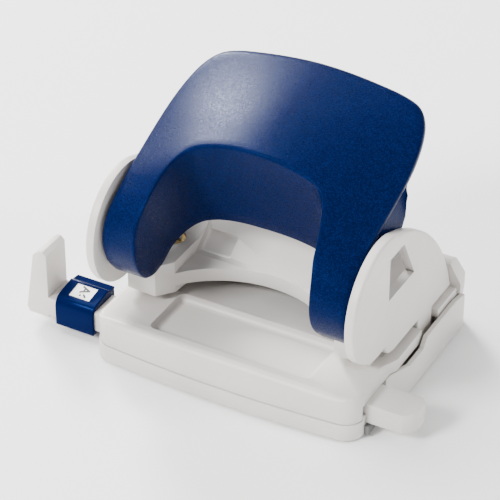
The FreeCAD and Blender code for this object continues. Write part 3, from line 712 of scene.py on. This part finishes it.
@dataclass
class LeverShell:
    """The blue pressed lever: crowned deck, two legs, turned outer edge and the wall round its arch.

    All sizes are in millimetres. A place on the deck is (x, t), with t along the side profile, 0 at
    the leg's foot and 10 at the rear. The knots describe the right half.
    """

    side_x: float = 46.8
    crown_power: float = 1.7
    crown_reach: float = 1.1
    thickness: float = 1.2
    edge_round: float = 3.6
    fold_round: float = 1.5
    rim_round: float = 0.3
    rim_steps: int = 2
    rim_deg: float = 60.0
    shade_deg: float = 40.0
    skirt: float = 2.4
    columns: int = 70
    wall_rows: int = 9
    deck_rows: int = 22
    fold_rows: int = 3
    edge_rows: int = 6
    cheek_rows: int = 6
    profile_end: float = 10.0
    profile_samples: int = 801
    probe_t: float = 0.02
    probe_x: float = 0.05
    middle_profile: Sequence[Point2] = (
        (-30.0, 36.0), (-33.8, 40.8), (-36.4, 46.5), (-37.2, 53.0), (-37.3, 61.0), (-34.5, 69.5),
        (-29.5, 77.5), (-21.0, 84.5), (-2.0, 90.0), (17.0, 93.8), (36.0, 97.5),
    )
    side_profile: Sequence[Point2] = (
        (-30.0, 36.0), (-33.4, 40.5), (-35.6, 46.5), (-35.8, 52.0), (-33.8, 57.5), (-29.6, 62.0),
        (-23.0, 65.6), (-14.5, 69.8), (1.6, 76.6), (18.0, 83.6), (36.0, 91.3),
    )
    fold_places: Sequence[Point3] = (
        (36.5, -30.0, 36.0), (33.6, -31.4, 37.6), (32.7, -33.8, 41.0), (32.6, -36.5, 48.0),
        (32.6, -36.3, 57.9), (32.1, -34.7, 63.0), (31.3, -31.0, 66.3), (30.7, -27.9, 70.5),
        (29.9, -24.9, 74.6), (28.4, -20.2, 78.0), (26.3, -16.6, 80.5), (23.0, -14.0, 82.6),
        (17.5, -13.2, 84.8), (9.0, -13.3, 86.9), (0.0, -13.5, 87.6),
    )
    wall_foot: Sequence[Point3] = (
        (36.4, -29.6, 35.7), (33.9, -28.6, 34.9), (33.2, -26.6, 34.3), (33.0, -24.0, 33.9),
        (33.0, -21.0, 34.0), (33.0, -18.0, 34.8), (32.8, -15.4, 36.4), (32.4, -13.0, 38.4),
        (31.2, -10.0, 41.0), (29.0, -6.6, 43.6), (26.3, -4.4, 45.6), (23.0, -3.4, 47.2),
        (17.0, -3.0, 49.0), (9.0, -3.0, 50.2), (0.0, -3.0, 50.5),
    )
    outline_places: Sequence[Point2] = (
        (46.8, 0.0), (46.8, 2.2), (46.8, 4.2), (46.8, 5.6), (46.8, 6.9), (46.8, 7.7), (46.8, 8.25),
        (46.3, 8.75), (45.0, 9.2), (42.6, 9.58), (38.4, 9.84), (32.0, 9.93), (23.0, 9.95),
        (11.0, 9.96), (0.0, 9.96),
    )
    cheek_foot: Sequence[Point3] = (
        (0.0, -14.4, 36.2), (3.0, -14.4, 47.0), (5.0, -14.4, 60.0), (5.8, -14.2, 62.9), (6.8, -7.0, 62.9),
        (7.6, 3.2, 63.4), (8.0, 5.4, 66.6), (8.2, 5.8, 72.2), (8.3, 6.6, 74.0),
    )

    def surface(self, places: np.ndarray) -> np.ndarray:
        """Points of the outer skin.

        Args:
            places: One (x, t) row for each place.

        Returns:
            One (x, y, z) row for each place.
        """
        x, t = places[:, 0], places[:, 1]
        share = np.clip(np.abs(x) / self.side_x, 0, self.crown_reach) ** self.crown_power
        middle = smooth_curve(self.middle_profile, t)
        side = smooth_curve(self.side_profile, t)
        blended = middle + (side - middle) * share[:, None]
        return np.column_stack([x, blended])

    def normals(self, places: np.ndarray) -> np.ndarray:
        """Outward directions of the outer skin.

        Args:
            places: One (x, t) row for each place.

        Returns:
            One unit (x, y, z) row for each place.
        """
        step_t, step_x = np.array([0, self.probe_t]), np.array([self.probe_x, 0])
        along = self.surface(places + step_t) - self.surface(places - step_t)
        across = self.surface(places + step_x) - self.surface(places - step_x)
        normal = np.cross(across, along)
        return normal / np.linalg.norm(normal, axis=1)[:, None]

    def place_on_profile(self, point: Point3) -> float:
        """The skin's nearest place to a point.

        Args:
            point: An (x, y, z) point.

        Returns:
            The t of that place, at the point's own x.
        """
        t = np.linspace(0, self.profile_end, self.profile_samples)
        skin = self.surface(np.column_stack([np.full_like(t, point[0]), t]))
        return float(t[np.argmin(np.hypot(skin[:, 1] - point[1], skin[:, 2] - point[2]))])

    def half_rows(self) -> np.ndarray:
        """The right half's points, from the wall's foot over the deck to the cheek's lower edge.

        Returns:
            An array of columns by rows by 3, whose columns run from the leg's foot to the middle.
        """
        inner = even_places([(p[0], self.place_on_profile(p)) for p in self.fold_places], self.columns)
        outer = even_places(self.outline_places, self.columns)
        foot = even_places(self.wall_foot, self.columns)
        fold_edge, rim = self.surface(inner), self.surface(outer)
        width = np.linalg.norm(rim - fold_edge, axis=1)
        start, end = self.fold_round / width, 1 - self.edge_round / width
        shares = [start + (end - start) * f for f in np.linspace(0, 1, self.deck_rows)]
        deck = [self.surface(inner + (outer - inner) * share[:, None]) for share in shares]
        wall_top = self.wall_top(foot, fold_edge)
        wall = [foot + (wall_top - foot) * f for f in np.linspace(0, 1, self.wall_rows)]
        fold = [bent(wall_top, fold_edge, deck[0], f) for f in np.linspace(0, 1, self.fold_rows + 2)[1:-1]]
        normal = self.normals(outer)
        turned = rim - normal * self.edge_round
        edge = [bent(deck[-1], rim, turned, f) for f in np.linspace(0, 1, self.edge_rows + 1)[1:]]
        lower = self.lower_edge(outer, turned, normal)
        cheek = [turned + (lower - turned) * f for f in np.linspace(0, 1, self.cheek_rows + 1)[1:]]
        points = np.stack([*wall, *fold, *deck, *edge, *cheek], axis=1)
        points[:, :, 0] = np.minimum(points[:, :, 0], self.side_x)
        return points

    def wall_top(self, foot: np.ndarray, fold_edge: np.ndarray) -> np.ndarray:
        """Where the arch's wall stops and the fold into the deck starts.

        Args:
            foot: The wall's lower edge.
            fold_edge: The sharp edge that the fold rounds off.

        Returns:
            One (x, y, z) row for each column.
        """
        way = foot - fold_edge
        length = np.linalg.norm(way, axis=1)[:, None]
        return fold_edge + way / length * np.minimum(self.fold_round, length / 3)

    def lower_edge(self, outer: np.ndarray, turned: np.ndarray, normal: np.ndarray) -> np.ndarray:
        """Lower edge of the cheek beside each leg, and of the short skirt behind it.

        Args:
            outer: The deck's outline, as (x, t) places.
            turned: Where the turned edge ends.
            normal: The skin's outward direction at the outline.

        Returns:
            One (x, y, z) row for each column.
        """
        low = turned - normal * self.skirt
        knots = np.array(self.cheek_foot)
        for index, (_, t) in enumerate(outer):
            if t <= knots[-1, 0]:
                y = np.interp(t, knots[:, 0], knots[:, 1])
                z = np.interp(t, knots[:, 0], knots[:, 2])
                low[index] = (self.side_x, y, z)
        return low

    def skin(self) -> bpy.types.Object:
        """Lay one grid over both halves' points.

        Returns:
            The skin, with no thickness and its faces outwards.
        """
        half = self.half_rows()
        other = half[::-1].copy()[1:]
        other[:, :, 0] *= -1
        points = np.concatenate([half, other]) * MM
        count_u, count_v = points.shape[:2]
        deselect()
        bpy.ops.mesh.primitive_grid_add(x_subdivisions=count_u - 1, y_subdivisions=count_v - 1, size=1.0)
        shell = bpy.context.object
        shell.name = "lever_shell"
        places = np.zeros(len(shell.data.vertices) * 3)
        shell.data.vertices.foreach_get("co", places)
        places = places.reshape(-1, 3)
        u = np.rint((places[:, 0] + 0.5) * (count_u - 1)).astype(int)
        v = np.rint((places[:, 1] + 0.5) * (count_v - 1)).astype(int)
        shell.data.vertices.foreach_set("co", points[u, v].ravel())
        shell.data.update()
        finish_mesh(shell)
        top = max(shell.data.polygons, key=lambda face: face.center.z)
        if top.normal.z < 0:
            edit_all(shell)
            bpy.ops.mesh.flip_normals()
            bpy.ops.object.mode_set(mode="OBJECT")
        return shell

    def build(self) -> None:
        """Give the skin its wall thickness and round its rims."""
        shell = self.skin()
        apply_modifier(shell, "SOLIDIFY", thickness=self.thickness * MM, offset=-1.0, use_even_offset=False)
        bevel(shell, self.rim_round, self.rim_steps, self.rim_deg)
        shade(shell, self.shade_deg)
        hand_over(shell, "lever", "lever_blue", ["handle_shell"])


# ------------------------------------------------------------------ punches


@dataclass
class ReturnSprings:
    """Two open coil springs under the punch heads.

    The share `pressed`, which a pressed spring would keep of its length, is not used.
    """

    wire_mm: float = 0.35
    wire_sides: int = 8
    turns: int = 7
    steps: int = 20
    pressed: float = 0.39
    shade_deg: float = 60.0

    def build(self) -> None:
        """Wind one coil on each punch, inside its CAD envelope."""
        for side in ("left", "right"):
            self.coil(side)

    def coil(self, side: str) -> None:
        """Wind one coil.

        Args:
            side: The punch that it stands on.
        """
        wire = self.wire_mm * MM
        low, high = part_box("return_spring_" + side)
        centre = (low + high) / 2
        radius = (high.x - low.x) / 2 - wire
        rise = high.z - low.z - 2 * wire
        deselect()
        bpy.ops.mesh.primitive_circle_add(
            vertices=self.wire_sides, radius=wire, rotation=(math.radians(90), 0, 0),
            location=(centre.x + radius, centre.y, low.z + wire),
        )
        coil = bpy.context.object
        coil.name = f"spring_coil_{side}"
        settle(coil)
        axis = bpy.data.objects.new(f"axis_{side}", None)
        axis.location = (centre.x, centre.y, 0)
        bpy.context.scene.collection.objects.link(axis)
        bpy.context.view_layer.update()
        apply_modifier(
            coil, "SCREW", axis="Z", object=axis, angle=math.tau, steps=self.steps, render_steps=self.steps,
            iterations=self.turns, screw_offset=rise / self.turns, use_merge_vertices=False,
        )
        bpy.data.objects.remove(axis)
        edit_all(coil)
        bpy.ops.mesh.fill_holes(sides=self.wire_sides)
        bpy.ops.object.mode_set(mode="OBJECT")
        finish_mesh(coil, self.shade_deg)
        hand_over(coil, "base", "spring_steel", ["return_spring_" + side])
        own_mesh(coil)


# ------------------------------------------------------------------ mouldings


@dataclass
class Mouldings:
    """The white plastic parts, with the rounded edges of their tool.

    All sizes are in millimetres. The bridge's front slope is given by its foot and its top as (y, z).
    """

    rounding: dict[str, tuple[str, float]] = field(default_factory=lambda: {
        "front_cover": ("base", 0.7),
        "upper_cover": ("base", 0.5),
        "left_ear": ("base", 0.35),
        "right_ear": ("base", 0.35),
        "chip_tray": ("tray", 0.5),
        "format_rail": ("rail", 1.5),
    })
    slope_foot: Point2 = (1.0, 28.3)
    slope_top: Point2 = (12.0, 37.0)
    recess_x: Point2 = (-29.6, -17.5)
    recess_along: Point2 = (1.4, 10.4)
    recess_depth: float = 0.7
    recess_round: float = 2.2
    recess_steps: int = 5
    recess_deg: float = 60.0

    def recess(self, cover: bpy.types.Object) -> None:
        """Sink the shallow rounded pocket into the left of the bridge's front slope.

        Args:
            cover: The upper cover's piece.
        """
        (y0, z0), (y1, z1) = self.slope_foot, self.slope_top
        angle = math.atan2(z1 - z0, y1 - y0)
        x0, x1 = self.recess_x
        start, end = self.recess_along
        lift = self.recess_depth
        cutter = block((0, 0, 0), (x1 - x0, end - start, 4 * lift))
        bevel(cutter, self.recess_round, self.recess_steps, self.recess_deg)
        along = (start + end) / 2
        cutter.rotation_euler = (angle, 0, 0)
        cutter.location = (
            (x0 + x1) / 2 * MM,
            (y0 + along * math.cos(angle) - lift * math.sin(angle)) * MM,
            (z0 + along * math.sin(angle) + lift * math.cos(angle)) * MM,
        )
        settle(cutter)
        subtract(cover, cutter)
        shade(cover)

    def build(self) -> None:
        """Round each moulding and let it stand for its CAD node."""
        for node, (body, width) in self.rounding.items():
            piece = softened(node, width)
            if node == "upper_cover":
                self.recess(piece)
            hand_over(piece, body, NODE_SLOTS[node], [node])


# ------------------------------------------------------------------ studio


def aim(obj: bpy.types.Object, way: Vector) -> None:
    """Turn a camera or a light to look along a direction."""
    obj.rotation_mode = "QUATERNION"
    obj.rotation_quaternion = way.to_track_quat("-Z", "Y")


@dataclass(frozen=True)
class Softbox:
    """One rectangular area light.

    Attributes:
        name: The light's name.
        location: Where it hangs.
        target: What it faces.
        size: Width and height.
        watts: Its power.
    """

    name: str
    location: Point3
    target: Point3
    size: Point2
    watts: float

    def hang(self) -> None:
        """Add the light to the scene."""
        data = bpy.data.lights.new(self.name, "AREA")
        data.shape = "RECTANGLE"
        data.size, data.size_y = self.size
        data.energy = self.watts
        light = bpy.data.objects.new(self.name, data)
        bpy.context.scene.collection.objects.link(light)
        light.location = self.location
        aim(light, Vector(self.target) - Vector(self.location))


@dataclass
class Studio:
    """Pale floor, soft lights and the camera."""

    location: Point3 = (0.312742, -0.585138, 0.501544)
    azimuth_deg: float = 28.78
    elevation_deg: float = 34.8
    lens: float = 170.4
    near: float = 0.01
    floor_size: float = 6.0
    floor_z: float = -0.00002
    sky: float = 0.5
    softboxes: Sequence[Softbox] = (
        Softbox("key", (-0.55, -1.15, 1.0), (0, 0, 0.05), (0.45, 0.45), 40.0),
        Softbox("rear_left", (-0.95, 0.72, 0.72), (-0.02, 0, 0.08), (0.34, 0.34), 34.0),
        Softbox("right", (1.0, 0.1, 0.6), (0, 0, 0.05), (0.25, 0.7), 9.0),
        Softbox("overhead", (-0.7, 0.1, 1.5), (0, 0, 0), (0.9, 0.9), 30.0),
    )

    def floor(self) -> None:
        """Lay a large pale floor just under the feet."""
        deselect()
        bpy.ops.mesh.primitive_plane_add(size=self.floor_size, location=(0, 0, self.floor_z))
        floor = bpy.context.object
        floor.name = "floor"
        dress(floor, FLOOR)

    def camera(self) -> None:
        """Aim the camera from the front right, from above."""
        azimuth, elevation = math.radians(self.azimuth_deg), math.radians(self.elevation_deg)
        level = math.cos(elevation)
        back = Vector((math.sin(azimuth) * level, -math.cos(azimuth) * level, math.sin(elevation)))
        data = bpy.data.cameras.new("camera")
        data.lens = self.lens
        data.clip_start = self.near
        camera = bpy.data.objects.new("camera", data)
        bpy.context.scene.collection.objects.link(camera)
        camera.location = self.location
        aim(camera, -back)
        bpy.context.scene.camera = camera

    def lights(self) -> None:
        """Light the punch from the sky and from the softboxes."""
        world = bpy.data.worlds.new("studio")
        bpy.context.scene.world = world
        world.use_nodes = True
        background = world.node_tree.nodes["Background"]
        background.inputs["Color"].default_value = (1, 1, 1, 1)
        background.inputs["Strength"].default_value = self.sky
        for softbox in self.softboxes:
            softbox.hang()

    def build(self) -> None:
        """Set up the whole studio."""
        self.floor()
        self.camera()
        self.lights()


def dress_cad_nodes(names: Iterable[str]) -> None:
    """Give every CAD node its finish, whether it is shown or stood for.

    Args:
        names: The nodes.
    """
    for name in names:
        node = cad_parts[name]
        material = FINISHES[NODE_SLOTS[name]].material()
        if not node.material_slots:
            node.data.materials.append(material)
        for place in node.material_slots:
            place.material = material


def main() -> None:
    """Build every piece in order, then the studio."""
    deselect()
    dress_cad_nodes(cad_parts)
    Mouldings().build()
    FormatIndicator().build()
    LeverShell().build()
    ReturnSprings().build()
    Studio().build()
    deselect()


if __name__ == "__main__":
    main()
